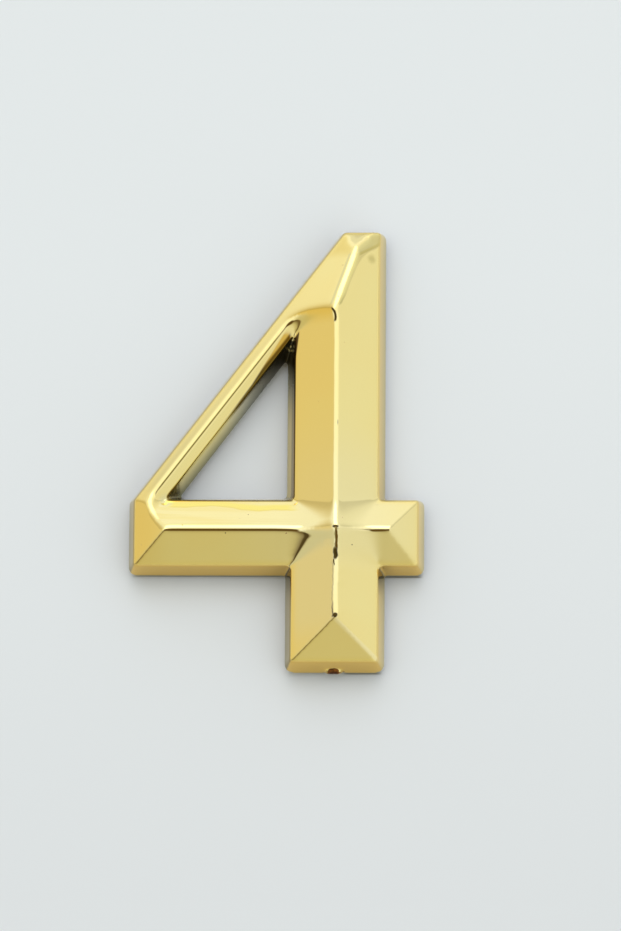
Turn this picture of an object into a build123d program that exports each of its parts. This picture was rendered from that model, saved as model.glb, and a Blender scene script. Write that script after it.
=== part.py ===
from build123d import *
import math
import os

# Self-adhesive door number, the digit four, moulded with bevels that meet in a crest.
# Millimetres and degrees. +X is to the digit's right, +Y up the digit and +Z out of its face.
# The origin is the middle of the digit's footprint, on the back of the adhesive pad.

# The digit's footprint, at the back edge of its flanks
digit_width = 32.8
digit_height = 50.0

# The flanks lean in from the back edge to a rim, where the bevels start
flank_height = 2.6
flank_lean = 0.65
hole_lean = 0.8
corner_radius = 0.25

# Strokes, measured from rim to rim
stem_width = 9.4
leg_width = 9.7
leg_length = 10.9
arm_length = 4.4
crossbar_width = 7.25
diagonal_width = 2.7
top_width = 3.95

# Bevels, as angles up from the back plane, and the rounded crest where they meet
side_bevel = 35.0
end_bevel = 38.5
crest_radius = 0.8

# The moulding is cored out from behind to an even wall, with ribs flush with its back edge
wall = 1.3
rib_thickness = 0.9
stem_ribs = 3
stem_rib_pitch = 7.0
crossbar_ribs = 2
crossbar_rib_pitch = 6.0

# Stub on the leg's end flank, where the mould's gate was cut off
gate_width = 1.6
gate_height = 0.8
gate_stub = 0.25

# Foam adhesive pad, cut to the footprint and set in from its edge
pad_thickness = 0.9
pad_inset = 0.5

# Places of the strokes at the rim
rim_right = digit_width / 2 - flank_lean
rim_top = digit_height / 2 - flank_lean
stem_right = rim_right - arm_length
stem_left = stem_right - stem_width
leg_left = stem_right - leg_width
crossbar_low = leg_length - rim_top
crossbar_high = crossbar_low + crossbar_width

# The diagonal runs from the crossbar's outer corner to the top of the stem
diagonal_foot = Vector(-rim_right, crossbar_high)
diagonal_head = Vector(stem_right - top_width, rim_top)
diagonal_slope = (diagonal_head.Y - diagonal_foot.Y) / (diagonal_head.X - diagonal_foot.X)
hole_left = -rim_right + diagonal_width * math.hypot(1, 1 / diagonal_slope)
hole_top = crossbar_high + (stem_left - hole_left) * diagonal_slope

# Outlines at the rim, with the material on their left. Each corner comes with the angle of
# the bevel along the side that leaves it.
rim_outline = [
    (Vector(leg_left, -rim_top), end_bevel),
    (Vector(stem_right, -rim_top), side_bevel),
    (Vector(stem_right, crossbar_low), side_bevel),
    (Vector(rim_right, crossbar_low), end_bevel),
    (Vector(rim_right, crossbar_high), side_bevel),
    (Vector(stem_right, crossbar_high), side_bevel),
    (Vector(stem_right, rim_top), end_bevel),
    (diagonal_head, side_bevel),
    (diagonal_foot, end_bevel),
    (Vector(-rim_right, crossbar_low), side_bevel),
    (Vector(leg_left, crossbar_low), side_bevel),
]
hole_outline = [
    (Vector(hole_left, crossbar_high), side_bevel),
    (Vector(stem_left, hole_top), side_bevel),
    (Vector(stem_left, crossbar_high), side_bevel),
]

# Heights above the back of the pad. The bevels are cut from a block taller than the crest.
back_edge = pad_thickness
rim_height = back_edge + flank_height
widest = max(stem_width, leg_width) + crossbar_width
bevel_rise = widest / 2 * math.tan(math.radians(side_bevel))
flank_draft = math.degrees(math.atan(flank_lean / flank_height))
hole_draft = math.degrees(math.atan(hole_lean / flank_height))

# Places of the core, at the back edge
core_left = stem_left - hole_lean + wall
core_high = crossbar_high + hole_lean - wall
core_drop = wall / math.cos(math.radians(side_bevel))

# Middles of the strokes, where the ribs are centred
stem_centre = (stem_left + stem_right) / 2
leg_centre = (leg_left + stem_right) / 2
crossbar_centre = (crossbar_low + crossbar_high) / 2
stem_rib_middle = (crossbar_high + rim_top) / 2
leg_rib_middle = (crossbar_low - rim_top) / 2
crossbar_rib_middle = (stem_left - rim_right) / 2
rib_align = (Align.CENTER, Align.CENTER, Align.MIN)

# Bevels that run smoothly into a corner's cone meet it in a seam, which starts at the rim
seam_clearance = 0.01


def bevel_profile(angle):
    """Sketch the section of what lies over a bevel that climbs at angle from the origin."""
    reach = bevel_rise / math.tan(math.radians(angle))
    Polygon((0, 0), (reach, bevel_rise), (0, bevel_rise), align=None)


def trough(start, end, angle, floor):
    """Return what lies over the bevel along the line from start to end."""
    along = (end - start).normalized()
    inward = Vector(-along.Y, along.X)
    with BuildPart() as cutter:
        with BuildSketch(Plane(origin=(start.X, start.Y, floor), x_dir=inward, z_dir=along)):
            bevel_profile(angle)
        extrude(amount=(end - start).length)
    return cutter.part


def fan(before, corner, after, floor):
    """Return what lies over the cone round a corner that points into the material."""
    leaving = (after - corner).normalized()
    inward = Vector(-leaving.Y, leaving.X)
    upright = Vector(0, 0, 1)
    pivot = (corner.X, corner.Y, floor)
    with BuildPart() as cutter:
        with BuildSketch(Plane(origin=pivot, x_dir=inward, z_dir=inward.cross(upright))):
            bevel_profile(side_bevel)
        revolve(axis=Axis(pivot, upright), revolution_arc=(corner - before).get_angle(leaving))
    return cutter.part


def bevel_cutters(outline, floor):
    """Return the cutters of the bevels along a closed outline whose rim is at height floor."""
    cutters = []
    for index, (corner, angle) in enumerate(outline):
        before = outline[index - 1][0]
        after = outline[(index + 1) % len(outline)][0]
        cutters.append(trough(corner, after, angle, floor))
        if (corner - before).cross(after - corner).Z < 0:
            cutters.append(fan(before, corner, after, floor))
    return cutters


# Flat outlines of the digit and its hole, at the rim and at the back edge
with BuildSketch() as rim:
    Polygon(*[(corner.X, corner.Y) for corner, angle in rim_outline], align=None)
    offset(amount=-corner_radius, kind=Kind.INTERSECTION)
    offset(amount=corner_radius)
with BuildSketch() as footprint:
    add(rim.sketch)
    offset(amount=flank_lean)
with BuildSketch() as rim_hole:
    Polygon(*[(corner.X, corner.Y) for corner, angle in hole_outline], align=None)
with BuildSketch() as footprint_hole:
    add(rim_hole.sketch)
    offset(amount=-hole_lean, kind=Kind.INTERSECTION)

# Core, the space behind the stem, the leg and the crossbar. The narrow diagonal stays solid.
with BuildPart() as core:
    with BuildSketch(Plane.XY.offset(back_edge)):
        add(footprint.sketch)
        offset(amount=-wall)
        with Locations((core_left, core_high)):
            Rectangle(digit_width, digit_height, align=(Align.MAX, Align.MIN), mode=Mode.SUBTRACT)
    extrude(amount=flank_height - core_drop + bevel_rise, taper=flank_draft)
    for cutter in bevel_cutters(rim_outline, rim_height - core_drop):
        add(cutter, mode=Mode.SUBTRACT)
    for cutter in bevel_cutters(hole_outline, rim_height - core_drop):
        add(cutter, mode=Mode.SUBTRACT)
    with Locations((stem_centre, stem_rib_middle, back_edge)):
        with GridLocations(1, stem_rib_pitch, 1, stem_ribs):
            Box(leg_width, rib_thickness, bevel_rise, align=rib_align, mode=Mode.SUBTRACT)
    with Locations((leg_centre, leg_rib_middle, back_edge)):
        Box(leg_width, rib_thickness, bevel_rise, align=rib_align, mode=Mode.SUBTRACT)
    with Locations((crossbar_rib_middle, crossbar_centre, back_edge)):
        with GridLocations(crossbar_rib_pitch, 1, crossbar_ribs, 1):
            Box(rib_thickness, crossbar_width, bevel_rise, align=rib_align, mode=Mode.SUBTRACT)

# The number itself: bevels cut down to their crest from a block on top of leaning flanks
with BuildPart() as number_moulding:
    with BuildSketch(Plane.XY.offset(rim_height)):
        add(rim.sketch)
        add(rim_hole.sketch, mode=Mode.SUBTRACT)
    extrude(amount=bevel_rise)
    for cutter in bevel_cutters(rim_outline, rim_height):
        add(cutter, mode=Mode.SUBTRACT)
    for cutter in bevel_cutters(hole_outline, rim_height):
        add(cutter, mode=Mode.SUBTRACT)
    crests = number_moulding.edges().filter_by(
        lambda edge: edge.bounding_box().min.Z > rim_height + seam_clearance
    )
    fillet(crests, crest_radius)
    with BuildSketch(Plane.XY.offset(back_edge)):
        add(footprint.sketch)
    extrude(amount=flank_height, taper=flank_draft)
    with BuildSketch(Plane.XY.offset(back_edge)):
        add(footprint_hole.sketch)
    extrude(amount=flank_height, taper=-hole_draft, mode=Mode.SUBTRACT)
    add(core.part, mode=Mode.SUBTRACT)
    with Locations((leg_centre, -digit_height / 2 - gate_stub, back_edge)):
        Box(gate_width, gate_stub + wall / 2, gate_height, align=(Align.CENTER, Align.MIN, Align.MIN))

# Die-cut foam, sticky on both faces, under the moulding's back edge and its ribs
with BuildPart() as adhesive_pad:
    with BuildSketch():
        add(footprint.sketch)
        offset(amount=-pad_inset)
        with BuildSketch(mode=Mode.SUBTRACT):
            add(footprint_hole.sketch)
            offset(amount=pad_inset)
    extrude(amount=pad_thickness)

os.makedirs("parts", exist_ok=True)
number_moulding.part.label = "number_moulding"
export_step(number_moulding.part, "parts/number_moulding.step")
adhesive_pad.part.label = "adhesive_pad"
export_step(adhesive_pad.part, "parts/adhesive_pad.step")
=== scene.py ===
import math
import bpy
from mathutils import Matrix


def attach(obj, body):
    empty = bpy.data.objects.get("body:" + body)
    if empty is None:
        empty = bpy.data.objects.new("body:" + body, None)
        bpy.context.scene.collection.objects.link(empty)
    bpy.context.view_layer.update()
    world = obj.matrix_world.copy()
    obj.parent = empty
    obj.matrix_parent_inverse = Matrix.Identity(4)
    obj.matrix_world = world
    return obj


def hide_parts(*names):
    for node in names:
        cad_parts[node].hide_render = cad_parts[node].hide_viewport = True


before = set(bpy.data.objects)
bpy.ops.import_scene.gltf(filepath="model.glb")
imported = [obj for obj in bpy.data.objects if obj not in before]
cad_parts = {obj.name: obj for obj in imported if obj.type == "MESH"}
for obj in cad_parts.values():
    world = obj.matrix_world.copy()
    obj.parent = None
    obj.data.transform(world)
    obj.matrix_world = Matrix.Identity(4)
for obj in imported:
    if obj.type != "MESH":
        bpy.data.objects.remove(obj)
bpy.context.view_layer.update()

from types import SimpleNamespace
import bpy
from mathutils import Matrix, Vector, noise

# Adhesive door number, the digit four: one gold plated moulding on a foam adhesive pad.
# Pieces are shaped in millimetres, in the frame's axes, and brought to metres when finished.
MM = 0.001

# Sizes of the moulding, as its solid has them
BACK_EDGE = 0.9
FLANK_HEIGHT = 2.6
FLANK_LEAN = 0.65
HOLE_LEAN = 0.8
RIM = BACK_EDGE + FLANK_HEIGHT
CORNER = 0.25
SIDE_BEVEL = 35.0
END_BEVEL = 38.5

# Bevels a little flatter than the solid's, at the leg's end and at the digit's left end
LEG_BEVEL = 36.5
LEFT_BEVEL = 35.8

# Height of what is cut off over a bevel, and how far it laps over the rim and over its own ends
BEVEL_RISE = 6.0
OVERHANG = 0.05
SEAM = 0.02

# Points round a rounded corner and round a cone
ARC_STEPS = 8
CONE_STEPS = 180

# Stub of the mould's gate: its middle, half its width, its top and how far it stands out
GATE_X = 6.4
GATE_HALF = 0.8
GATE_TOP = 1.75
GATE_STUB = 0.2

# Size of the fine faces, and what their smoothing takes off the sharp edges round the back
VOXEL = 0.15
SHRINK = 0.07

# Places of the strokes' sides and of the hole's corners, at the rim
RIM_RIGHT = 15.75
RIM_TOP = 24.35
STEM_RIGHT = 11.35
STEM_LEFT = 1.95
LEG_LEFT = 1.65
BAR_LOW = -13.45
BAR_HIGH = -6.2
DIAGONAL_HEAD = 7.4
HOLE_CORNER = -12.363
HOLE_TOP = 12.682
HOLE_SLOPE = (HOLE_TOP - BAR_HIGH) / (STEM_LEFT - HOLE_CORNER)

# Narrow facet beside the top's right hip: ends and slope of its line with the stroke's bevel, and
# the angle it is turned from that bevel
FACET_FOOT = Vector((STEM_RIGHT, 22.985, RIM))
FACET_HEAD = Vector((9.33, 21.62, RIM + 1.414))
FACET_SLOPE = 0.676
FACET_TURN = 12.0

# Slanted ridge up to the top: where it starts, and how far it goes right as it goes up
RIDGE_Y = 16.2
RIDGE_SLOPE = 0.333

# Corners at the rim, each with the angle of the bevel on the side that leaves it
OUTLINE = [
    (LEG_LEFT, -RIM_TOP, LEG_BEVEL),
    (STEM_RIGHT, -RIM_TOP, SIDE_BEVEL),
    (STEM_RIGHT, BAR_LOW, SIDE_BEVEL),
    (RIM_RIGHT, BAR_LOW, END_BEVEL),
    (RIM_RIGHT, BAR_HIGH, SIDE_BEVEL),
    (STEM_RIGHT, BAR_HIGH, SIDE_BEVEL),
    (STEM_RIGHT, RIM_TOP, END_BEVEL),
    (DIAGONAL_HEAD, RIM_TOP, SIDE_BEVEL),
    (-RIM_RIGHT, BAR_HIGH, LEFT_BEVEL),
    (-RIM_RIGHT, BAR_LOW, SIDE_BEVEL),
    (LEG_LEFT, BAR_LOW, SIDE_BEVEL),
]
HOLE = [
    (HOLE_CORNER, BAR_HIGH, SIDE_BEVEL),
    (STEM_LEFT, HOLE_TOP, SIDE_BEVEL),
    (STEM_LEFT, BAR_HIGH, SIDE_BEVEL),
]

# The rim lies this much further up than the solid's, and the crossbar's low side this much further
# down. In the hole, the foot of the wall along the stem stands out this much further.
RIM_UP = 0.12
BAR_WIDER = 0.15
FOOT_OUT = 0.12

# Heights of the leg's and the crossbar's crests over the rim, and how far they lie off the middle
LEG_CREST = 3.3
LEG_CREST_RIGHT = 0.24
BAR_CREST = 2.5
BAR_CREST_UP = 0.05

# Dent in the stroke's right bevel near its top: its place, its reach and its depth
DENT = (10.6, 21.3)
DENT_REACH = (0.36, 0.5)
DENT_DEPTH = 0.055

# Side of the tiles in which the fine faces of the flat back are joined
TILE = 2.0


def deselect():
    if bpy.context.object and bpy.context.object.mode != "OBJECT":
        bpy.ops.object.mode_set(mode="OBJECT")
    bpy.ops.object.select_all(action="DESELECT")


def choose(piece):
    deselect()
    piece.select_set(True)
    bpy.context.view_layer.objects.active = piece


def apply_place(piece):
    choose(piece)
    bpy.ops.object.transform_apply(location=True, rotation=True, scale=True)


def finish_modifier(piece, kind, **settings):
    choose(piece)
    modifier = piece.modifiers.new(kind.title(), kind)
    for key, value in settings.items():
        setattr(modifier, key, value)
    bpy.ops.object.modifier_apply(modifier=modifier.name)


def carve(piece, cutter, operation="DIFFERENCE"):
    finish_modifier(piece, "BOOLEAN", object=cutter, operation=operation, solver="MANIFOLD")
    bpy.data.objects.remove(cutter, do_unlink=True)


def moved_out(corners, distance):
    """Corners of a closed outline with every side moved outwards, as (x, y)."""
    moved = []
    for index, corner in enumerate(corners):
        here = Vector(corner[:2])
        before = (here - Vector(corners[index - 1][:2])).normalized()
        after = (Vector(corners[(index + 1) % len(corners)][:2]) - here).normalized()
        out_before = Vector((before.y, -before.x))
        out_after = Vector((after.y, -after.x))
        mitre = (out_before + out_after) / (1 + out_before.dot(out_after))
        moved.append(here + mitre * distance)
    return moved


def rounded(corners, radius):
    """A closed outline with its outer corners rounded."""
    points = []
    for index, corner in enumerate(corners):
        here = Vector(corner[:2])
        before = (here - Vector(corners[index - 1][:2])).normalized()
        after = (Vector(corners[(index + 1) % len(corners)][:2]) - here).normalized()
        if before.cross(after) < 0:
            points.append(here)
            continue
        outward = Vector((before.y, -before.x))
        mitre = (outward + Vector((after.y, -after.x))) / (1 + before.dot(after))
        centre = here - mitre * radius
        sweep = math.acos(before.dot(after))
        for step in range(ARC_STEPS + 1):
            turned = Matrix.Rotation(sweep * step / ARC_STEPS, 2) @ outward
            points.append(centre + turned * radius)
    return points


def outline_block(name, low_corners, low, high_corners, high):
    """A block whose sides lean from one outline to another."""
    deselect()
    bpy.ops.mesh.primitive_circle_add(vertices=len(low_corners), fill_type="NGON")
    block = bpy.context.object
    block.name = name
    for vertex, corner in zip(block.data.vertices, low_corners):
        vertex.co = (corner[0], corner[1], low)
    bpy.ops.object.mode_set(mode="EDIT")
    bpy.ops.mesh.select_all(action="SELECT")
    bpy.ops.mesh.extrude_region_move(TRANSFORM_OT_translate={"value": (0, 0, high - low)})
    bpy.ops.object.mode_set(mode="OBJECT")
    for vertex in block.data.vertices:
        if vertex.co.z > (low + high) / 2:
            nearest = min(
                range(len(low_corners)),
                key=lambda index: (Vector(low_corners[index][:2]) - vertex.co.xy).length,
            )
            vertex.co.xy = high_corners[nearest][:2]
    outwards(block)
    return block


def outwards(piece):
    choose(piece)
    bpy.ops.object.mode_set(mode="EDIT")
    bpy.ops.mesh.select_all(action="SELECT")
    bpy.ops.mesh.normals_make_consistent(inside=False)
    bpy.ops.object.mode_set(mode="OBJECT")


def plain_box(low, high):
    deselect()
    centre = (Vector(low) + Vector(high)) / 2
    size = Vector(high) - Vector(low)
    bpy.ops.mesh.primitive_cube_add(size=1, location=centre, scale=size)
    box = bpy.context.object
    apply_place(box)
    return box


def bevel_wedge(start, end, angle, floor):
    """What lies over the bevel along one side, a cube pulled into a wedge."""
    along = Vector(end) - Vector(start)
    reach = BEVEL_RISE / math.tan(math.radians(angle))
    wedge = plain_box((-reach, -SEAM, 0), (OVERHANG, along.length + SEAM, BEVEL_RISE))
    bpy.ops.object.mode_set(mode="EDIT")
    bpy.ops.mesh.select_all(action="DESELECT")
    bpy.ops.object.mode_set(mode="OBJECT")
    for vertex in wedge.data.vertices:
        vertex.select = vertex.co.x < -reach / 2 and vertex.co.z < BEVEL_RISE / 2
    bpy.ops.object.mode_set(mode="EDIT")
    bpy.ops.transform.translate(value=(0, 0, BEVEL_RISE))
    bpy.ops.mesh.select_all(action="SELECT")
    bpy.ops.mesh.remove_doubles(threshold=0.0001)
    bpy.ops.object.mode_set(mode="OBJECT")
    wedge.rotation_euler = (0, 0, math.atan2(-along.x, along.y))
    wedge.location = (start[0], start[1], floor)
    apply_place(wedge)
    outwards(wedge)
    return wedge


def bevel_cone(corner, floor):
    """What lies over the cone round a corner that points into the material."""
    deselect()
    reach = BEVEL_RISE / math.tan(math.radians(SIDE_BEVEL))
    bpy.ops.mesh.primitive_cone_add(
        vertices=CONE_STEPS,
        radius1=0,
        radius2=reach,
        depth=BEVEL_RISE,
        location=(corner[0], corner[1], floor + BEVEL_RISE / 2),
    )
    cone = bpy.context.object
    apply_place(cone)
    outwards(cone)
    return cone


def cut_bevels(block, corners, floor):
    for index, corner in enumerate(corners):
        before = Vector(corners[index - 1][:2])
        here = Vector(corner[:2])
        after = Vector(corners[(index + 1) % len(corners)][:2])
        carve(block, bevel_wedge(here, after, corner[2], floor))
        if (here - before).cross(after - here) < 0:
            carve(block, bevel_cone(corner, floor))


def to_metres(piece):
    piece.scale = (MM, MM, MM)
    apply_place(piece)


# The digit: leaning flanks, then the block over the rim with its bevels cut down to the crest
footprint = rounded(moved_out(OUTLINE, FLANK_LEAN + SHRINK), CORNER + FLANK_LEAN + SHRINK)
outline = [(x, y + RIM_UP - (BAR_WIDER if y == BAR_LOW else 0), angle) for x, y, angle in OUTLINE]
hole_outline = [(x, y + RIM_UP, angle) for x, y, angle in HOLE]
rim = rounded(outline, CORNER)
digit = outline_block("number_four", footprint, BACK_EDGE - SHRINK / 2, rim, RIM)
roof = outline_block("roof", rim, RIM - 1, rim, RIM + BEVEL_RISE)
cut_bevels(roof, outline, RIM)
hole = [corner[:2] for corner in hole_outline]
hole_block = outline_block("hole", hole, RIM - 2, hole, RIM + BEVEL_RISE + 1)
carve(roof, hole_block)
cut_bevels(roof, hole_outline, RIM)
hole_foot = [(x - FOOT_OUT if x > 0 else x, y) for x, y in moved_out(HOLE, HOLE_LEAN)]
hole_low = [Vector(c).lerp(Vector(f), 1 + 1 / FLANK_HEIGHT) for c, f in zip(hole, hole_foot)]
hole_high = [Vector(c).lerp(Vector(f), -0.2 / FLANK_HEIGHT) for c, f in zip(hole, hole_foot)]
carve(digit, outline_block("hole", hole_low, BACK_EDGE - 1, hole_high, RIM + 0.2))
carve(digit, roof, "UNION")

# Narrow facet along the hip on the right of the top, sunk a little from the stroke's bevel
along = (FACET_HEAD - FACET_FOOT).normalized()
bevel_normal = Vector((math.sin(math.radians(SIDE_BEVEL)), 0, math.cos(math.radians(SIDE_BEVEL))))
facet_normal = Matrix.Rotation(math.radians(FACET_TURN), 3, along) @ bevel_normal
facet = plain_box((-3, -3, 0), (3, 3, 3))
facet.rotation_mode = "QUATERNION"
facet.rotation_quaternion = facet_normal.to_track_quat("Z", "Y")
facet.location = FACET_FOOT + along * 1.5
apply_place(facet)
carve(digit, facet)

# Stub on the leg's end, where the mould's gate was broken off
stub = plain_box(
    (GATE_X - GATE_HALF, -RIM_TOP - FLANK_LEAN - GATE_STUB, BACK_EDGE),
    (GATE_X + GATE_HALF, -RIM_TOP, GATE_TOP),
)
carve(digit, stub, "UNION")

# Fine even faces all over, whose sharp edges are then smoothed
finish_modifier(digit, "REMESH", mode="VOXEL", voxel_size=VOXEL, adaptivity=0)
finish_modifier(digit, "SMOOTH", factor=0.5, iterations=5)


def fade(value, low, high):
    """How far a value has come from low to high, from 0 to 1."""
    return min(1.0, max(0.0, (value - low) / (high - low)))


def weigh(piece, name, weight_at):
    """A vertex group whose weights come from the places of the vertices."""
    group = piece.vertex_groups.new(name=name)
    for vertex in piece.data.vertices:
        weight = weight_at(vertex.co)
        if weight > 0:
            group.add([vertex.index], weight, "REPLACE")


def on_crest(place):
    """The crests of the strokes are rounder than the hips at their ends."""
    weight = fade(place.z, RIM + 0.35, RIM + 0.7)
    weight *= fade(place.y, -19.8, -19.2) * (1 - 0.35 * fade(-place.y, 12.5, 13.5))
    weight *= fade(place.x, -12.4, -11.8) if place.y < -9.9 else fade(place.x, -14.6, -14.2)
    weight *= 1 - fade(place.x, 12.1, 12.7) * (1 - fade(place.y, 0, 1))
    return weight


def on_top(place):
    """The ridge up to the stroke's narrow top is rounder still."""
    ridge_x = 6.5 + (place.y - RIDGE_Y) * RIDGE_SLOPE
    ridge = fade(place.y, 15.6, 16.8) * (1 - fade(abs(place.x - ridge_x), 1.0, 1.5))
    return ridge * (1 - fade(place.y, 21.4, 22.0)) * fade(place.z, RIM + 0.1, RIM + 0.3)


def beside_hole(place):
    """Whether a place is over the hole or within half a millimetre of its rim."""
    under = place.y < BAR_HIGH + (place.x - HOLE_CORNER) * HOLE_SLOPE + 0.8
    return under and place.y > BAR_HIGH - 0.5 and place.x < STEM_LEFT + 0.5


def on_rim(place):
    """The outer rim and the hips at the strokes' ends are rounded over a little."""
    if beside_hole(place):
        return 0
    hips = max(0.2 * fade(place.y, 21.6, 22.0), 0.3 * fade(-place.y, 18.9, 19.5))
    if place.y < BAR_HIGH:
        hips = max(hips, 0.3 * fade(-place.x, 11.7, 12.3), 0.4 * fade(place.x, 12.3, 12.8))
    return max(1 - fade(abs(place.z - RIM), 0.15, 0.5), hips)


def in_hole(place):
    """The hole's walls, below their rim."""
    lean = (RIM - place.z) / FLANK_HEIGHT
    if lean < 0.1 or place.y < BAR_HIGH - 0.2 or place.x > STEM_LEFT + 0.2:
        return 0
    return 1.0 if place.y < BAR_HIGH + (place.x - HOLE_CORNER) * HOLE_SLOPE + 0.5 else 0


roundings = (("crest", on_crest, 44), ("hole", in_hole, 16), ("top", on_top, 64), ("rim", on_rim, 8))
for group_name, weight_at, times in roundings:
    weigh(digit, group_name, weight_at)
for group_name, weight_at, times in roundings:
    finish_modifier(digit, "SMOOTH", factor=1.0, iterations=times, vertex_group=group_name)

# A shallow dent in the stroke's right bevel, near its top
for vertex in digit.data.vertices:
    across_dent = (vertex.co.x - DENT[0]) / DENT_REACH[0]
    from_dent = Vector((across_dent, (vertex.co.y - DENT[1]) / DENT_REACH[1]))
    if from_dent.length < 3 and vertex.co.z > RIM:
        vertex.co.z -= DENT_DEPTH * math.exp(-from_dent.length_squared)

# The crests wander a little, most of all down the leg
for vertex in digit.data.vertices:
    if vertex.co.z > RIM + 2.4 and vertex.co.x > 5:
        height = fade(vertex.co.z, RIM + 2.4, RIM + 2.9)
        amount = 0.11 if vertex.co.y < -11 else 0.03
        vertex.co.x += amount * height * noise.noise(Vector((0, vertex.co.y / 1.1, 3.7)))

# The leg's crest lies a little to the right of the leg's middle, the crossbar's a little high
for vertex in digit.data.vertices:
    if vertex.co.z > RIM and -13.5 < vertex.co.y < BAR_HIGH and vertex.co.x < 2:
        vertex.co.y += BAR_CREST_UP * (vertex.co.z - RIM) / BAR_CREST * (1 - fade(vertex.co.x, 0, 2))
    if vertex.co.z > RIM and vertex.co.y < -9 and 0 < vertex.co.x < 12.5:
        climbed = (vertex.co.z - RIM) / LEG_CREST
        climbed *= fade(vertex.co.x, 0, 2) * (1 - fade(vertex.co.x, 11.5, 12.5))
        vertex.co.x += LEG_CREST_RIGHT * climbed * fade(vertex.co.y, -9.0, -10.8)

# The flat back needs no fine faces, so they are joined in tiles, each apart from its neighbours
choose(digit)
for parity in range(4):
    bpy.ops.object.mode_set(mode="EDIT")
    bpy.ops.mesh.select_mode(type="FACE")
    bpy.ops.mesh.select_all(action="DESELECT")
    bpy.ops.object.mode_set(mode="OBJECT")
    for face in digit.data.polygons:
        tile = math.floor(face.center.x / TILE) % 2 + 2 * (math.floor(face.center.y / TILE) % 2)
        face.select = tile == parity and face.normal.z < -0.9999 and face.center.z < BACK_EDGE
    bpy.ops.object.mode_set(mode="EDIT")
    bpy.ops.mesh.dissolve_limited(angle_limit=math.radians(1))
    bpy.ops.mesh.select_mode(type="VERT")
    bpy.ops.object.mode_set(mode="OBJECT")
choose(digit)
bpy.ops.object.shade_smooth()
to_metres(digit)
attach(digit, "root")
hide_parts("number_moulding")


def node(tree, kind, **inputs):
    """A shader node with its inputs set, each to a value or to another node's output."""
    made = tree.nodes.new(kind)
    for name, value in inputs.items():
        socket = made.inputs[int(name[1:])] if name[0] == "_" else made.inputs[name.replace("_", " ")]
        if isinstance(value, bpy.types.NodeSocket):
            tree.links.new(value, socket)
        else:
            socket.default_value = value
    return made


def ramp(tree, value, low, high, start=0.0, end=1.0, smooth=True):
    """A value that goes from start to end while another goes from low to high."""
    made = tree.nodes.new("ShaderNodeMapRange")
    made.interpolation_type = "SMOOTHSTEP" if smooth else "LINEAR"
    tree.links.new(value, made.inputs["Value"])
    for name, number in (("From Min", low), ("From Max", high), ("To Min", start), ("To Max", end)):
        made.inputs[name].default_value = number
    return made.outputs["Result"]


def span(tree, value, low, high, start=0.0, end=1.0, smooth=True):
    """A ramp whose low and high are in millimetres."""
    return ramp(tree, value, low * MM, high * MM, start, end, smooth)


def maths(tree, operation, *values):
    """A Math node, with each value a number or another node's output."""
    made = tree.nodes.new("ShaderNodeMath")
    made.operation = operation
    for socket, value in zip(made.inputs, values):
        if isinstance(value, bpy.types.NodeSocket):
            tree.links.new(value, socket)
        else:
            socket.default_value = value
    return made.outputs[0]


def blend_colour(tree, factor, low, high):
    """A blend of two colours, each a tone or another node's output."""
    made = tree.nodes.new("ShaderNodeMix")
    made.data_type = "RGBA"
    for socket, value in zip((made.inputs[0], made.inputs[6], made.inputs[7]), (factor, low, high)):
        if isinstance(value, bpy.types.NodeSocket):
            tree.links.new(value, socket)
        else:
            socket.default_value = value if isinstance(value, float) else (*value, 1)
    return made.outputs[2]


def paint(tree, below, mask, tone, amount=1.0):
    """A colour with a tone over it, as far as the mask and the amount say."""
    if amount < 1:
        mask = maths(tree, "MULTIPLY", mask, amount)
    return blend_colour(tree, mask, below, tone)


def near(tree, place, centre, inner, outer, scale=(1, 1, 1)):
    """A mask that is full within the inner distance of a point and gone at the outer one."""
    apart = node(tree, "ShaderNodeVectorMath", _0=place)
    apart.operation = "SUBTRACT"
    apart.inputs[1].default_value = Vector(centre) * MM
    spread = node(tree, "ShaderNodeVectorMath", _0=apart.outputs[0])
    spread.operation = "MULTIPLY"
    spread.inputs[1].default_value = scale
    reach = node(tree, "ShaderNodeVectorMath", _0=spread.outputs[0])
    reach.operation = "LENGTH"
    return ramp(tree, reach.outputs["Value"], outer * MM, inner * MM)


def product(tree, *masks):
    """A mask that is full only where all of several are."""
    joined = masks[0]
    for mask in masks[1:]:
        joined = maths(tree, "MULTIPLY", joined, mask)
    return joined


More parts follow.
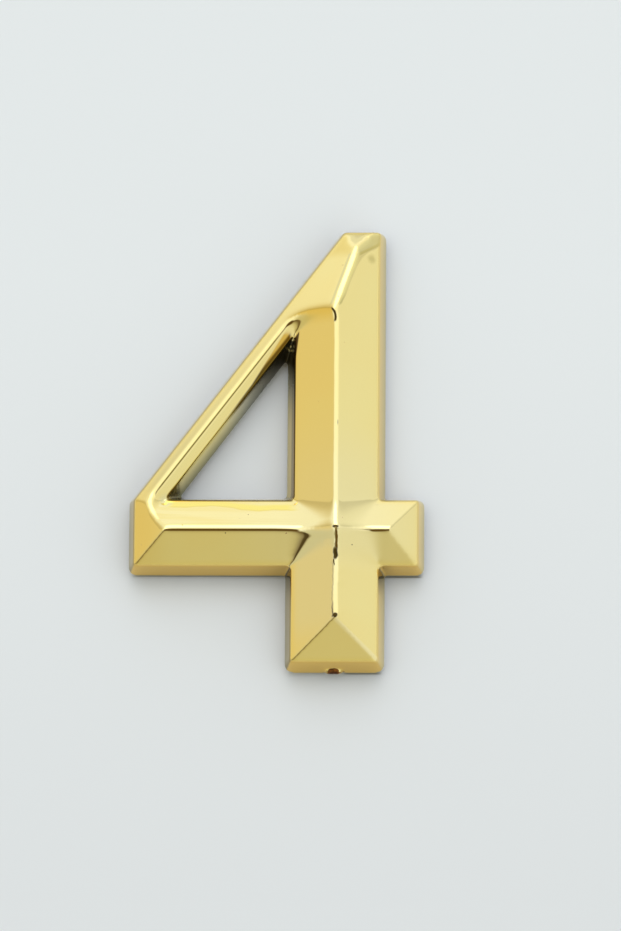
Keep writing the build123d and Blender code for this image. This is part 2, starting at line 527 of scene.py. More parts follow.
def read_surface(tree):
    """Where a point of the digit lies, which way it faces, and the masks that its tones share."""
    on = SimpleNamespace()
    on.place = node(tree, "ShaderNodeTexCoord").outputs["Object"]
    on.x, on.y, on.z = node(tree, "ShaderNodeSeparateXYZ", Vector=on.place).outputs
    normal = node(tree, "ShaderNodeTexCoord").outputs["Normal"]
    on.facing_x, on.facing_y, on.facing_z = node(tree, "ShaderNodeSeparateXYZ", Vector=normal).outputs

    # Flanks, from their foot to the rim, and which way they face
    turned = ramp(tree, on.facing_x, -0.2, 0.2, 0.0, 0.12)
    on.flank = ramp(tree, maths(tree, "ADD", on.facing_z, turned), 0.74, 0.45)
    on.lean = span(tree, on.z, RIM, BACK_EDGE, smooth=False)
    on.rightward = ramp(tree, on.facing_x, -0.9, 0.9, smooth=False)
    on.downward = ramp(tree, on.facing_y, -0.5, -0.8)

    # Where the hole's walls are
    low = span(tree, on.z, RIM + 0.4, RIM + 0.15)
    left_of_stem = span(tree, on.x, STEM_LEFT + 0.3, STEM_LEFT + 0.1)
    over_bar = span(tree, on.y, BAR_HIGH, BAR_HIGH + 0.5)
    over_corner = BAR_HIGH - HOLE_CORNER * HOLE_SLOPE + 0.4
    on.rise = maths(tree, "MULTIPLY_ADD", on.x, HOLE_SLOPE, over_corner * MM)
    under_diagonal = ramp(tree, maths(tree, "SUBTRACT", on.y, on.rise), 0.3 * MM, 0.0)
    on.inside = product(tree, left_of_stem, over_bar, under_diagonal, low)
    # Painted shade on the hole's walls, deeper towards the hole's top and by its left corner; the same
    # mask makes them rougher
    deep = span(tree, on.y, 2, 9.4, 0.0, 0.92)
    on.beside = product(tree, left_of_stem, over_bar, under_diagonal)
    on.wall = product(tree, on.beside, span(tree, on.z, RIM - 0.15, RIM - 0.4))
    on.flank = maths(tree, "MAXIMUM", on.flank, on.wall)
    corner = near(tree, on.place, (HOLE_CORNER + 0.9, BAR_HIGH + 0.4, 2.4), 0.4, 1.9)
    unlit = maths(tree, "MAXIMUM", deep, maths(tree, "MULTIPLY", corner, 0.8))
    on.dull = product(tree, on.inside, on.flank, unlit)

    # The diagonal's outer bevel
    facing_left = ramp(tree, on.facing_x, -0.2, -0.4)
    on.upper_left = product(tree, ramp(tree, on.facing_y, 0.15, 0.3), facing_left)

    # Noise that roughens the outlines of painted dark reflections, darker patches and the gate's scar
    on.jagged = node(tree, "ShaderNodeTexNoise", Vector=on.place, Scale=1100.0, Detail=2.0)
    on.ragged = node(tree, "ShaderNodeTexNoise", Vector=on.place, Scale=1800.0, Detail=3.0)
    rough_place = node(tree, "ShaderNodeVectorMath", _0=on.jagged.outputs["Color"])
    rough_place.operation = "MULTIPLY_ADD"
    rough_place.inputs[1].default_value = (0.4 * MM, 0.4 * MM, 0.0)
    tree.links.new(on.place, rough_place.inputs[2])
    on.shaken = rough_place.outputs[0]
    return on


def bevel_tones(tree, on):
    """Bevels with painted reflections: a little paler about the crossing of the strokes and on the leg's
    left bevel, darker lower down the diagonal's outer bevel, and oranger at the left end.
    """
    cloud = node(tree, "ShaderNodeTexNoise", Vector=on.place, Scale=90.0, Detail=2.0)
    patch = ramp(tree, cloud.outputs["Fac"], 0.35, 0.65)
    bevel = blend_colour(tree, patch, (0.95, 0.825, 0.47), (0.955, 0.81, 0.445))
    shade = product(tree, on.upper_left, span(tree, on.y, 17, -2, smooth=False))
    bevel = paint(tree, bevel, shade, (0.80, 0.70, 0.435))
    pale = near(tree, on.place, (6.5, -9.0, 5.0), 3.5, 14.0)
    right_of_leg = product(tree, ramp(tree, on.facing_x, 0.2, 0.4), span(tree, on.y, -11, -15, 0.0, 0.8))
    pale = product(tree, pale, maths(tree, "SUBTRACT", 1.0, right_of_leg))
    bevel = paint(tree, bevel, pale, (0.93, 0.825, 0.55))
    leg_left = product(
        tree,
        ramp(tree, on.facing_x, -0.3, -0.45),
        span(tree, on.y, -9.7, -10.3),
        span(tree, on.y, -24.5, -19.0),
        span(tree, on.x, 0.5, 3.0),
    )
    bevel = paint(tree, bevel, leg_left, (0.905, 0.835, 0.65))
    elbow = product(tree, on.upper_left, near(tree, on.place, (-15.2, -5.9, 4.0), 0.4, 2.4))
    bevel = paint(tree, bevel, elbow, (0.80, 0.68, 0.36))

    # Painted reflection, oranger where the stem's left bevel ends at the top
    head = product(
        tree,
        ramp(tree, on.facing_x, -0.3, -0.45),
        ramp(tree, on.facing_y, 0.2, 0.08),
        span(tree, on.y, 13.2, 15.0),
    )
    return paint(tree, bevel, head, (0.91, 0.70, 0.24))


def top_tones(tree, on, bevel):
    """Painted reflections at the very top: the top facet darker, the hips on its sides painted as
    highlights, and a darker band beside the left hip.
    """
    up_there = span(tree, on.y, 20.3, 20.9)
    hips = product(tree, up_there, ramp(tree, on.facing_y, 0.40, 0.45))
    bevel = paint(tree, bevel, hips, (0.99, 0.86, 0.53))
    end_facet = product(tree, up_there, ramp(tree, on.facing_y, 0.47, 0.53))
    bevel = paint(tree, bevel, end_facet, (0.80, 0.70, 0.43))
    beside_hip = product(tree, on.upper_left, ramp(tree, on.facing_y, 0.42, 0.36))
    beside_hip = product(tree, beside_hip, span(tree, on.y, 21.0, 22.4))
    bevel = paint(tree, bevel, beside_hip, (0.88, 0.71, 0.31))

    # The narrow facet beside the right hip and the fold below it, painted as darker reflections
    below_foot = (STEM_RIGHT * FACET_SLOPE - FACET_FOOT.y) * MM
    sunk = maths(tree, "MULTIPLY_ADD", on.x, -FACET_SLOPE, below_foot)
    sunk = maths(tree, "ADD", sunk, on.y)
    on_right = product(tree, up_there, ramp(tree, on.facing_x, 0.28, 0.38))
    sunk_facet = product(tree, on_right, span(tree, sunk, -0.05, 0.1))
    bevel = paint(tree, bevel, sunk_facet, (0.82, 0.725, 0.41))
    fold = product(tree, on_right, span(tree, sunk, -0.1, 0.0), span(tree, sunk, 0.4, 0.2))
    return paint(tree, bevel, fold, (0.78, 0.66, 0.30))


def ridge_tones(tree, on, bevel):
    """The slanted ridge up to the top shines, between two folds painted darker as reflections."""
    aside = maths(tree, "MULTIPLY_ADD", on.y, -RIDGE_SLOPE, (RIDGE_Y * RIDGE_SLOPE - 6.68) * MM)
    aside = maths(tree, "ADD", aside, on.x)
    slanted = product(tree, span(tree, on.y, 15.3, 15.7), span(tree, on.y, 21.9, 21.5))
    left_fold = product(tree, slanted, span(tree, aside, -0.68, -0.46), span(tree, aside, -0.22, -0.40))
    bevel = paint(tree, bevel, left_fold, (0.76, 0.67, 0.40))
    right_fold = product(tree, slanted, span(tree, aside, 0.25, 0.45), span(tree, aside, 0.85, 0.6))
    return paint(tree, bevel, right_fold, (0.77, 0.67, 0.34))


def rim_tones(tree, on, bevel):
    """Painted reflections: the bevels are yellower along the outer rim, and oranger at the left end."""
    edge = span(tree, on.z, RIM + 0.55, RIM + 0.1)
    edge = product(tree, edge, maths(tree, "SUBTRACT", 0.7, maths(tree, "MULTIPLY", on.beside, 0.7)))
    edge = product(tree, edge, ramp(tree, on.facing_x, 0.4, 0.2, 0.3, 1.0))
    bevel = paint(tree, bevel, edge, (0.95, 0.79, 0.38))
    orange = near(tree, on.place, (-16.0, -10.0, 3.5), 1.5, 5.5, (1.0, 0.6, 1.0))
    return paint(tree, bevel, orange, (0.93, 0.76, 0.37))


def crossbar_tones(tree, on, bevel):
    """Pale streaks along the crossbar's upper bevel, and a painted yellow reflection in a band with a
    wavy lower edge.
    """
    ripple = node(tree, "ShaderNodeTexNoise", Vector=on.place, Scale=240.0, Detail=2.0)
    drift = span(tree, on.x, -8.5, -3.5, (BAR_HIGH - 1.25) * MM, (BAR_HIGH - 1.75) * MM)
    stretched = node(tree, "ShaderNodeVectorMath", _0=on.place)
    stretched.operation = "MULTIPLY"
    stretched.inputs[1].default_value = (0.06, 1.0, 1.0)
    streaks = node(tree, "ShaderNodeTexNoise", Vector=stretched.outputs[0], Scale=1500.0, Detail=1.0)
    streaks = ramp(tree, streaks.outputs["Fac"], 0.4, 0.62, 0.0, 0.6)
    streaks = product(tree, streaks, ramp(tree, on.facing_y, 0.4, 0.5), span(tree, on.x, 4, 0.0))
    streaks = product(tree, streaks, span(tree, on.y, 0.0, -5))
    bevel = paint(tree, bevel, streaks, (0.98, 0.88, 0.60))
    wavy = maths(tree, "MULTIPLY_ADD", ripple.outputs["Fac"], 0.9 * MM, drift)
    over_wavy = maths(tree, "SUBTRACT", on.y, wavy)
    yellow = product(
        tree,
        span(tree, over_wavy, 0.0, 0.1),
        span(tree, over_wavy, 1.0, 0.55),
        span(tree, on.y, BAR_HIGH + 0.4, BAR_HIGH + 0.2),
        span(tree, on.x, STEM_LEFT + 0.9, STEM_LEFT - 0.9),
        span(tree, on.x, -12.5, -11.1),
    )
    wavy_line = product(tree, yellow, span(tree, over_wavy, 0.25, 0.12))
    bevel = paint(tree, bevel, yellow, (0.98, 0.83, 0.29))
    return paint(tree, bevel, wavy_line, (0.90, 0.74, 0.29))


def fan_tones(tree, on, bevel):
    """Painted reflections in the fan where the crossbar meets the leg: pale, with a dark line down its
    left.
    """
    turn = maths(tree, "DIVIDE", on.facing_x, maths(tree, "MINIMUM", on.facing_y, -0.05))
    fan = product(
        tree,
        ramp(tree, on.facing_x, -0.12, -0.27),
        ramp(tree, turn, 1.7, 0.8),
        span(tree, on.x, -0.8, 0.2),
        span(tree, on.y, -16.0, -15.0),
        span(tree, on.y, -8.0, -8.6),
    )
    bevel = paint(tree, bevel, fan, (1.0, 0.94, 0.78))
    fan_line = product(
        tree,
        fan,
        ramp(tree, turn, 0.43, 0.52),
        ramp(tree, turn, 0.68, 0.62),
        span(tree, on.z, RIM + 0.2, RIM + 0.9),
    )
    bevel = paint(tree, bevel, fan_line, (0.20, 0.15, 0.02), 0.7)

    # Painted highlight down the hip at the right of the leg's end, by the distance from it
    hip_x, hip_y = 0.661, 0.751
    hip_offset = (24.23 * hip_y - STEM_RIGHT * hip_x - 0.1) * MM
    from_hip = maths(tree, "MULTIPLY_ADD", on.x, hip_x, hip_offset)
    from_hip = maths(tree, "ABSOLUTE", maths(tree, "MULTIPLY_ADD", on.y, hip_y, from_hip))
    leg_hip = product(tree, span(tree, from_hip, 0.35, 0.1), span(tree, on.y, -19.6, -20.0))
    return paint(tree, bevel, leg_hip, (1.0, 0.90, 0.68), 0.7)


def crest_line_tones(tree, on, bevel):
    """Painted dark reflection: a brown line along the inside of the diagonal's crest."""
    over_rise = maths(tree, "SUBTRACT", on.y, on.rise)
    crest_line = product(
        tree,
        span(tree, over_rise, 1.48, 1.62),
        span(tree, over_rise, 1.90, 1.76),
        span(tree, on.x, -13.2, -12.6),
        span(tree, on.x, 0.6, -0.4),
    )
    return paint(tree, bevel, crest_line, (0.58, 0.48, 0.15))


def brown_reflection(tree, on):
    """Painted brown reflection down the diagonal's inner rim, towards the hole's top, as its mask and
    tone.
    """
    under_rise = maths(tree, "SUBTRACT", on.rise, on.y)
    width = maths(
        tree,
        "ADD",
        span(tree, on.y, 4.2, 7.0, 0.18 * MM, 0.32 * MM, smooth=False),
        span(tree, on.y, 7.0, 12.5, 0.0, 1.0 * MM, smooth=False),
    )
    brown_reflection_mask = product(
        tree,
        ramp(tree, maths(tree, "ADD", under_rise, width), 0.0, 0.3 * MM),
        span(tree, on.y, 1.0, 6.0),
        span(tree, on.y, 13.2, 12.5),
        ramp(tree, on.facing_x, 0.3, 0.4),
        span(tree, on.x, 1.65, 1.3),
    )
    inwards = span(tree, under_rise, -0.65, -0.22)
    lower = blend_colour(tree, inwards, (0.42, 0.24, 0.035), (0.13, 0.075, 0.008))
    upper = blend_colour(tree, inwards, (0.76, 0.47, 0.085), (0.17, 0.08, 0.004))
    return brown_reflection_mask, blend_colour(tree, span(tree, on.y, 8.5, 11), lower, upper)


def flank_tones(tree, on):
    """Flanks mirror the surface that the number lies on, painted as reflections in greyer tones towards
    their foot, with painted shade on the leg's left flank and at the corners where the leg meets the
    crossbar.
    """
    rim_tone = blend_colour(tree, on.rightward, (0.42, 0.32, 0.165), (0.96, 0.77, 0.41))
    foot_tone = blend_colour(tree, on.rightward, (0.19, 0.19, 0.225), (0.62, 0.58, 0.485))
    side = blend_colour(tree, on.lean, rim_tone, foot_tone)
    leg_side = product(
        tree,
        ramp(tree, on.facing_x, -0.4, -0.7),
        span(tree, on.x, -2, -1),
        span(tree, on.y, -12.5, -13.5),
    )
    side = paint(tree, side, leg_side, (0.0, 0.0, 0.0), 0.28)
    side = paint(tree, side, on.downward, (0.79, 0.565, 0.19))
    for corner_x, amount in ((LEG_LEFT, 0.75), (STEM_RIGHT, 0.55)):
        shadow = near(tree, on.place, (corner_x, -14.4, 3.1), 0.4, 2.6, (1.0, 1.0, 0.8))
        shadow = product(tree, shadow, ramp(tree, on.downward, 0.5, 0.1))
        side = paint(tree, side, shadow, (0.07, 0.04, 0.02), amount)
    return side


def hole_tones(tree, on):
    """Walls of the hole, painted as reflections of the shaded floor and of each other, with a darker
    line along their rim and darker still where they face up the digit.
    """
    hole_rim = blend_colour(tree, on.rightward, (0.70, 0.53, 0.25), (1.0, 0.95, 0.74))
    hole_foot = blend_colour(tree, on.rightward, (0.47, 0.45, 0.33), (0.085, 0.12, 0.115))
    hole_side = blend_colour(tree, on.lean, hole_rim, hole_foot)
    on_stem = ramp(tree, on.rightward, 0.4, 0.2)
    rim_line = ramp(tree, maths(tree, "MULTIPLY_ADD", on_stem, -0.21, on.lean), 0.22, 0.08)
    lower_down = span(tree, on.y, 5.0, 2.5)
    lower_down = product(tree, lower_down, span(tree, on.y, -5.3, -4.0, 0.35, 1.0))
    diagonal_line = blend_colour(tree, lower_down, (0.25, 0.19, 0.055), (0.78, 0.71, 0.36))
    line_tone = blend_colour(tree, on_stem, diagonal_line, (0.18, 0.11, 0.028))
    hole_side = paint(tree, hole_side, rim_line, line_tone)
    upward = ramp(tree, on.facing_y, 0.4, 0.7)
    return paint(tree, hole_side, upward, (0.17, 0.15, 0.08))


def front_line_tones(tree, on, colour):
    """Painted reflections: a dark line along the rim below the hole, and a pale spot at its left end."""
    front_line = product(
        tree,
        span(tree, on.y, -6.37, -6.26),
        span(tree, on.y, -5.9, -6.0),
        span(tree, on.z, RIM - 0.5, RIM - 0.3),
        span(tree, on.x, -12.2, -11.2),
        span(tree, on.x, 2.0, 1.6),
    )
    colour = paint(tree, colour, front_line, (0.28, 0.20, 0.045), 0.8)
    hole_end = near(tree, on.place, (-12.25, -6.3, 3.5), 0.4, 1.2)
    return paint(tree, colour, hole_end, (0.84, 0.78, 0.55), 0.85)


def dark_reflections_and_specks(tree, on):
    """Painted dark reflections where two ridges meet and along the leg's crest, and a few specks and a
    fleck of fluff.
    """
    reflections_and_specks = product(
        tree,
        near(tree, on.place, (5.66, 14.0, 0), 0.98, 1.04, (1, 0.8, 0)),
        maths(tree, "SUBTRACT", 1.0, near(tree, on.place, (5.48, 14.0, 0), 0.90, 0.97, (1, 0.8, 0))),
        span(tree, on.y, 13.4, 13.7),
        span(tree, on.x, 6.0, 6.15),
    )
    for centre, scale in (
        ((6.88, -12.5, 0), (0.8, 0.3, 0)),
        ((6.74, -13.5, 0), (2.6, 0.5, 0)),
        ((6.88, -19.42, 0), (0.75, 0.85, 0)),
    ):
        reflections_and_specks = maths(tree, "MAXIMUM", reflections_and_specks, near(tree, on.shaken, centre, 0.16, 0.26, scale))
    for speck in ((8.5, -11.6, 0), (-5.48, -10.25, 0)):
        reflections_and_specks = maths(tree, "MAXIMUM", reflections_and_specks, near(tree, on.place, speck, 0.03, 0.09, (1, 1, 0)))
    fluff = near(tree, on.place, (6.86, 2.1, 0), 0.02, 0.09, (1, 0.2, 0))
    reflections_and_specks = maths(tree, "MAXIMUM", reflections_and_specks, maths(tree, "MULTIPLY", fluff, 0.5))
    leg_line = maths(tree, "MULTIPLY_ADD", on.jagged.outputs["Fac"], 0.45 * MM, on.x)
    leg_line = product(
        tree,
        span(tree, leg_line, 6.50, 6.58),
        span(tree, leg_line, 6.74, 6.66),
        span(tree, on.y, -19.95, -19.7),
        span(tree, on.y, -13.4, -13.8),
        span(tree, on.y, -17.8, -19.3, 0.25, 0.8),
    )
    reflections_and_specks = maths(tree, "MAXIMUM", reflections_and_specks, leg_line)
    cap = near(tree, on.place, (6.70, -9.80, 0), 0.12, 0.22, (0.5, 0.95, 0))
    return maths(tree, "MAXIMUM", reflections_and_specks, cap)


def darker_crest_wedge(tree, on):
    """A darker wedge down the upper end of the leg's crest, as its mask and tone."""
    wedge = span(tree, on.y, -9.6, -10.4, 0.2 * MM, 0.05 * MM, smooth=False)
    shaken_x = node(tree, "ShaderNodeSeparateXYZ", Vector=on.shaken).outputs["X"]
    from_wedge = maths(tree, "ABSOLUTE", maths(tree, "SUBTRACT", shaken_x, 6.88 * MM))
    from_wedge = maths(tree, "SUBTRACT", from_wedge, wedge)
    darker_wedge = product(
        tree,
        span(tree, on.y, -9.85, -9.95),
        span(tree, on.y, -12.3, -12.0),
        span(tree, from_wedge, 0.05, -0.03),
    )
    outer = span(tree, from_wedge, -0.16, -0.02)
    return darker_wedge, blend_colour(tree, outer, (0.60, 0.46, 0.18), (0.36, 0.26, 0.08))


def hole_top_tones(tree, on, colour):
    """Painted shade over the stem's rim at the hole's top and in the valley there, and painted glints in
    that valley.
    """
    rim_shade = span(tree, on.y, 9.5, 12.7, 0.0, 0.42 * MM, smooth=False)
    rim_shade = maths(tree, "SUBTRACT", on.x, rim_shade)
    below = maths(tree, "MULTIPLY_ADD", on.x, -1.3, on.y)
    rim_shade = product(
        tree,
        span(tree, rim_shade, STEM_LEFT + 0.12, STEM_LEFT - 0.02),
        span(tree, on.x, STEM_LEFT - 0.25, STEM_LEFT),
        span(tree, on.y, 9.0, 9.6),
        span(tree, below, 10.0, 9.75),
    )
    colour = paint(tree, colour, rim_shade, (0.09, 0.055, 0.02))
    valley_slope = 0.335
    valley_offset = (12.8 * valley_slope - STEM_LEFT) * MM
    valley = maths(tree, "MULTIPLY_ADD", on.y, -valley_slope, valley_offset)
    valley = maths(tree, "ABSOLUTE", maths(tree, "ADD", valley, on.x))
    valley = product(tree, on.wall, span(tree, valley, 0.3, 0.1), span(tree, on.y, 9.6, 10.2))
    colour = paint(tree, colour, valley, (0.02, 0.018, 0.012), 0.8)
    glints = near(tree, on.place, (1.66, 12.2, 0), 0.05, 0.2, (0.7, 1.2, 0))
    for centre in ((1.44, 11.55, 0), (1.24, 11.2, 0), (1.5, 11.1, 0)):
        glints = maths(tree, "MAXIMUM", glints, near(tree, on.place, centre, 0.03, 0.13, (1, 0.8, 0)))
    return paint(tree, colour, glints, (0.80, 0.76, 0.60))


def bare_plastic(tree, on):
    """Bare plastic on the back and where the gate was torn off."""
    torn = near(tree, on.place, (GATE_X, -25.2, 1.45), 0.2, 0.95, (0.95, 0.5, 0.8))
    torn = ramp(tree, maths(tree, "MULTIPLY_ADD", on.ragged.outputs["Fac"], 1.6, torn), 1.22, 1.3)
    chip = near(tree, on.shaken, (GATE_X + 1.3, -25.0, 1.3), 0.1, 0.2, (1, 0.4, 1))
    torn = maths(tree, "MAXIMUM", torn, chip)
    return maths(tree, "MAXIMUM", torn, ramp(tree, on.facing_z, -0.3, -0.6))


def gold_plating():
    """Bright gold plating under a clear amber lacquer, with painted reflections and shade in its colour,
    and rougher down in the hole where shade is painted.
    """
    material = bpy.data.materials.new("gold_plating")
    material.use_nodes = True
    tree = material.node_tree
    shader = tree.nodes["Principled BSDF"]
    on = read_surface(tree)

    # Bevels, then the flanks and the hole's walls below them, with painted reflections and shade in
    # their tones
    bevel = bevel_tones(tree, on)
    for add_tones in (top_tones, ridge_tones, rim_tones, crossbar_tones, fan_tones, crest_line_tones):
        bevel = add_tones(tree, on, bevel)
    brown_reflection_mask, brown_reflection_tone = brown_reflection(tree, on)
    bevel = paint(tree, bevel, brown_reflection_mask, brown_reflection_tone)
    side = paint(tree, flank_tones(tree, on), on.inside, hole_tones(tree, on))
    rim_edge = product(tree, on.inside, ramp(tree, on.facing_z, 0.80, 0.70))
    colour = blend_colour(tree, maths(tree, "MAXIMUM", on.flank, rim_edge), bevel, side)
    # Painted shade on the hole's walls
    colour = paint(tree, colour, on.dull, (0.13, 0.12, 0.09))
    colour = front_line_tones(tree, on, colour)

    # Painted dark reflections and specks, a darker wedge and patch, painted shade and glints at the
    # hole's top, and bare plastic over the plating
    reflections_and_specks = dark_reflections_and_specks(tree, on)
    colour = paint(tree, colour, reflections_and_specks, (0.075, 0.047, 0.008))
    darker_wedge, darker_wedge_tone = darker_crest_wedge(tree, on)
    colour = paint(tree, colour, darker_wedge, darker_wedge_tone, 0.95)
    # A darker patch over the dent in the stroke's right bevel
    dent_patch = near(tree, on.shaken, (10.65, 21.45, 0), 0.1, 0.65, (1.0, 0.9, 0))
    colour = paint(tree, colour, dent_patch, (0.66, 0.56, 0.27), 0.8)
    colour = hole_top_tones(tree, on, colour)
    bare = bare_plastic(tree, on)
    mottled = ramp(tree, on.ragged.outputs["Fac"], 0.4, 0.7)
    brown = blend_colour(tree, mottled, (0.05, 0.014, 0.001), (0.30, 0.10, 0.010))
    colour = paint(tree, colour, bare, brown)
    tree.links.new(colour, shader.inputs["Base Color"])
    tree.links.new(maths(tree, "SUBTRACT", 1.0, bare), shader.inputs["Metallic"])
    uncoated = maths(tree, "MULTIPLY", maths(tree, "MAXIMUM", brown_reflection_mask, reflections_and_specks), 0.85)
    coat = maths(tree, "SUBTRACT", 1.0, maths(tree, "MAXIMUM", bare, uncoated))
    tree.links.new(coat, shader.inputs["Coat Weight"])

    # Fine grain, rougher on the hole's shaded walls, on the painted dark reflections, specks and darker
    # wedge, and where the plating is missing
    fine = node(tree, "ShaderNodeTexNoise", Vector=on.place, Scale=900.0, Detail=3.0)
    grain = ramp(tree, fine.outputs["Fac"], 0.35, 0.65, 0.045, 0.075)
    rough = maths(tree, "MULTIPLY_ADD", on.dull, 0.3, grain)
    rough = maths(tree, "MULTIPLY_ADD", maths(tree, "MAXIMUM", darker_wedge, reflections_and_specks), 0.3, rough)
    rough = maths(tree, "MULTIPLY_ADD", bare, 0.5, rough)
    tree.links.new(rough, shader.inputs["Roughness"])
    wave = node(tree, "ShaderNodeTexNoise", Vector=on.place, Scale=260.0, Detail=1.0)
    lumps = product(tree, on.ragged.outputs["Fac"], bare)
    height = maths(tree, "MULTIPLY_ADD", lumps, 8.0, wave.outputs["Fac"])
    bump = node(tree, "ShaderNodeBump", Height=height, Strength=0.35, Distance=0.00002)
    tree.links.new(bump.outputs["Normal"], shader.inputs["Normal"])
    shader.inputs["Specular IOR Level"].default_value = 0.15
    shader.inputs["Coat Roughness"].default_value = 0.03
    shader.inputs["Coat IOR"].default_value = 1.3
    shader.inputs["Coat Tint"].default_value = (0.98, 0.90, 0.60, 1)
    return material


def foam():
    """Closed-cell foam, with fine open cells where the die cut its sides, which are painted darker as
    shade in the cells and in the gap under the digit.
    """
    material = bpy.data.materials.new("foam")
    material.use_nodes = True
    tree = material.node_tree
    shader = tree.nodes["Principled BSDF"]
    place = node(tree, "ShaderNodeTexCoord").outputs["Object"]
    normal = node(tree, "ShaderNodeTexCoord").outputs["Normal"]
    upright = maths(tree, "ABSOLUTE", node(tree, "ShaderNodeSeparateXYZ", Vector=normal).outputs["Z"])
    cut = ramp(tree, upright, 0.8, 0.3)
    cells = node(tree, "ShaderNodeTexVoronoi", Vector=place, Scale=5200.0)
    pore = ramp(tree, cells.outputs["Distance"], 0.15, 0.5)
    cloud = node(tree, "ShaderNodeTexNoise", Vector=place, Scale=350.0, Detail=4.0)
    smear = ramp(tree, cloud.outputs["Fac"], 0.35, 0.65)
    film = blend_colour(tree, smear, (0.84, 0.84, 0.80), (0.88, 0.88, 0.86))
    side = blend_colour(tree, pore, (0.22, 0.22, 0.20), (0.62, 0.62, 0.59))
    tree.links.new(blend_colour(tree, cut, film, side), shader.inputs["Base Color"])
    tree.links.new(ramp(tree, cut, 0.0, 1.0, 0.38, 0.85), shader.inputs["Roughness"])
    height = product(tree, pore, maths(tree, "MULTIPLY_ADD", cut, 0.8, 0.2))
    bump = node(tree, "ShaderNodeBump", Height=height, Strength=0.5, Distance=0.00006)
    tree.links.new(bump.outputs["Normal"], shader.inputs["Normal"])
    return material


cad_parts["adhesive_pad"].material_slots[0].material = foam()
digit.data.materials.clear()
digit.data.materials.append(gold_plating())

# Pale floor under the number
deselect()
bpy.ops.mesh.primitive_plane_add(size=1.6, location=(0, 0, 0))
floor = bpy.context.object
floor.name = "floor"
floor_material = bpy.data.materials.new("pale_table")
floor_material.use_nodes = True
floor_tree = floor_material.node_tree
floor_shader = floor_tree.nodes["Principled BSDF"]
floor_place = node(floor_tree, "ShaderNodeTexCoord").outputs["Object"]
floor_x, floor_y = node(floor_tree, "ShaderNodeSeparateXYZ", Vector=floor_place).outputs[:2]
# Painted light: the floor is a little brighter towards the far side
far = span(floor_tree, floor_y, -50, 20, smooth=False)
floor_colour = blend_colour(floor_tree, far, (0.79, 0.785, 0.745), (0.845, 0.845, 0.80))

# Painted contact shadow: a dark line round the foot of the leg and the crossbar
for low_corner, high_corner in (
    ((1.4, -24.95), (7.7, -14.0)),
    ((7.2, -25.09), (11.9, -14.0)),
    ((-16.2, -14.1), (11.9, -5.7)),
    ((11.3, -14.23), (16.4, -5.7)),
):
    under = product(
        floor_tree,
        span(floor_tree, floor_x, low_corner[0], low_corner[0] + 0.8),
        span(floor_tree, floor_x, high_corner[0], high_corner[0] - 0.8),
        span(floor_tree, floor_y, low_corner[1], low_corner[1] + 0.1),
        span(floor_tree, floor_y, high_corner[1], high_corner[1] - 0.1),
    )
    floor_colour = paint(floor_tree, floor_colour, under, (0.34, 0.33, 0.27))
floor_tree.links.new(floor_colour, floor_shader.inputs["Base Color"])
floor_shader.inputs["Roughness"].default_value = 0.6
floor.data.materials.append(floor_material)

# The room that the gold mirrors, as light round the scene
world = bpy.data.worlds.new("studio")
bpy.context.scene.world = world
world.use_nodes = True
sky = world.node_tree
background = sky.nodes["Background"]
direction = sky.nodes.new("ShaderNodeTexCoord").outputs["Generated"]


def facing(axis):
    """How far the direction of a ray of light points along an axis."""
    dot = sky.nodes.new("ShaderNodeVectorMath")
    dot.operation = "DOT_PRODUCT"
    sky.links.new(direction, dot.inputs[0])
    dot.inputs[1].default_value = Vector(axis).normalized()
    return dot.outputs["Value"]


def glow(below, axis, inner, outer, colour):
    """Light of one colour round an axis, full within the inner angle and gone at the outer one."""
    spread = ramp(sky, facing(axis), math.cos(math.radians(outer)), math.cos(math.radians(inner)))
    return paint(sky, below, spread, colour)


light = glow((0.61, 0.62, 0.49), (0, 1, 0.1), 20, 130, (1.03, 1.14, 1.36))
light = glow(light, (0.95, 0.2, 0.3), 20, 60, (0.88, 0.97, 1.09))
light = glow(light, (-0.95, 0.2, 0.3), 15, 40, (0.81, 0.77, 0.58))
light = glow(light, (0.75, -0.62, 0.25), 10, 58, (0.84, 0.91, 0.95))
light = glow(light, (0.05, 0.2, 0.98), 25, 52, (1.14, 1.26, 1.45))
light = glow(light, (0.0, 0.68, 0.73), 16, 26, (2.2, 2.25, 2.4))

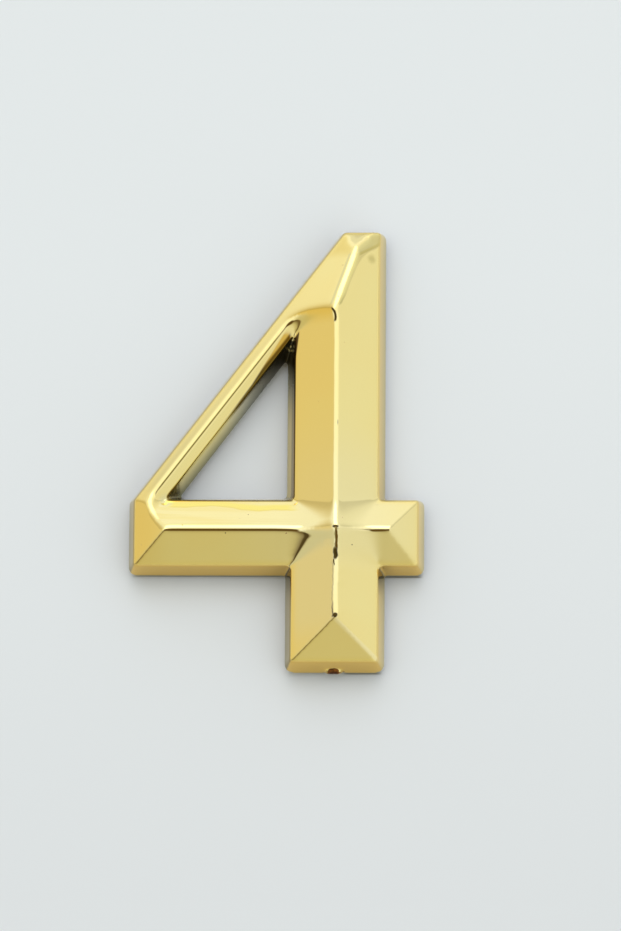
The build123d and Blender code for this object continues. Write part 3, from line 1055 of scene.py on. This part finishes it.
# A dark strip in front of the number, with a sharp left edge and a soft right one
across = facing((-0.671, 0.704, 0.2345))
sharp = ramp(sky, across, 0.13, 0.03)
soft = ramp(sky, across, -0.48, 0.02)
front = ramp(sky, facing((0, 1, 0)), 0.15, 0.0)
soft = maths(sky, "POWER", soft, 1.5)
light = paint(sky, light, product(sky, sharp, soft, front), (0.11, 0.065, 0.012), 0.88)
light = glow(light, (0.03, -0.29, 0.956), 14, 24, (0.13, 0.085, 0.03))
lowest = product(sky, ramp(sky, facing((0, 0, 1)), 0.11, 0.02), ramp(sky, facing((0, 1, 0)), 0.7, 0.9))
light = paint(sky, light, lowest, (0.1, 0.09, 0.07), 0.16)

# The bright light beyond the number ends in a darker seam on either side
sideways = maths(sky, "ABSOLUTE", facing((1, 0, 0)))
beyond = maths(sky, "MULTIPLY_ADD", sideways, -0.5, facing((0, 1, 0)))
seam = product(
    sky,
    ramp(sky, beyond, -0.09, -0.045),
    ramp(sky, beyond, 0.38, -0.03),
    ramp(sky, facing((0, 0, 1)), 0.65, 0.5),
)
light = paint(sky, light, seam, (0.1, 0.08, 0.04), 0.23)
sky.links.new(light, background.inputs["Color"])

# Camera, nearly overhead: height of its frame, distance, and its turns from straight down
FRAME_HIGH = 103.6 * MM
SENSOR = 36
DISTANCE = 0.67
TILT = math.radians(12.0)
LEAN = math.radians(1.75)
ROLL = math.radians(0.42)
target = Vector((3.70, -1.61, 0.9)) * MM
back = Vector((math.sin(LEAN), -math.sin(TILT) * math.cos(LEAN), math.cos(TILT) * math.cos(LEAN)))
camera_data = bpy.data.cameras.new("camera")
camera = bpy.data.objects.new("camera", camera_data)
bpy.context.scene.collection.objects.link(camera)
camera_data.sensor_width = SENSOR
camera_data.lens = SENSOR * DISTANCE / FRAME_HIGH
camera.location = target + back * DISTANCE
camera.rotation_mode = "QUATERNION"
right = Matrix.Rotation(ROLL, 3, back) @ Vector((0, 1, 0)).cross(back).normalized()
camera.rotation_quaternion = Matrix((right, back.cross(right), back)).transposed().to_quaternion()
bpy.context.scene.camera = camera
bpy.context.scene.view_settings.view_transform = "Standard"
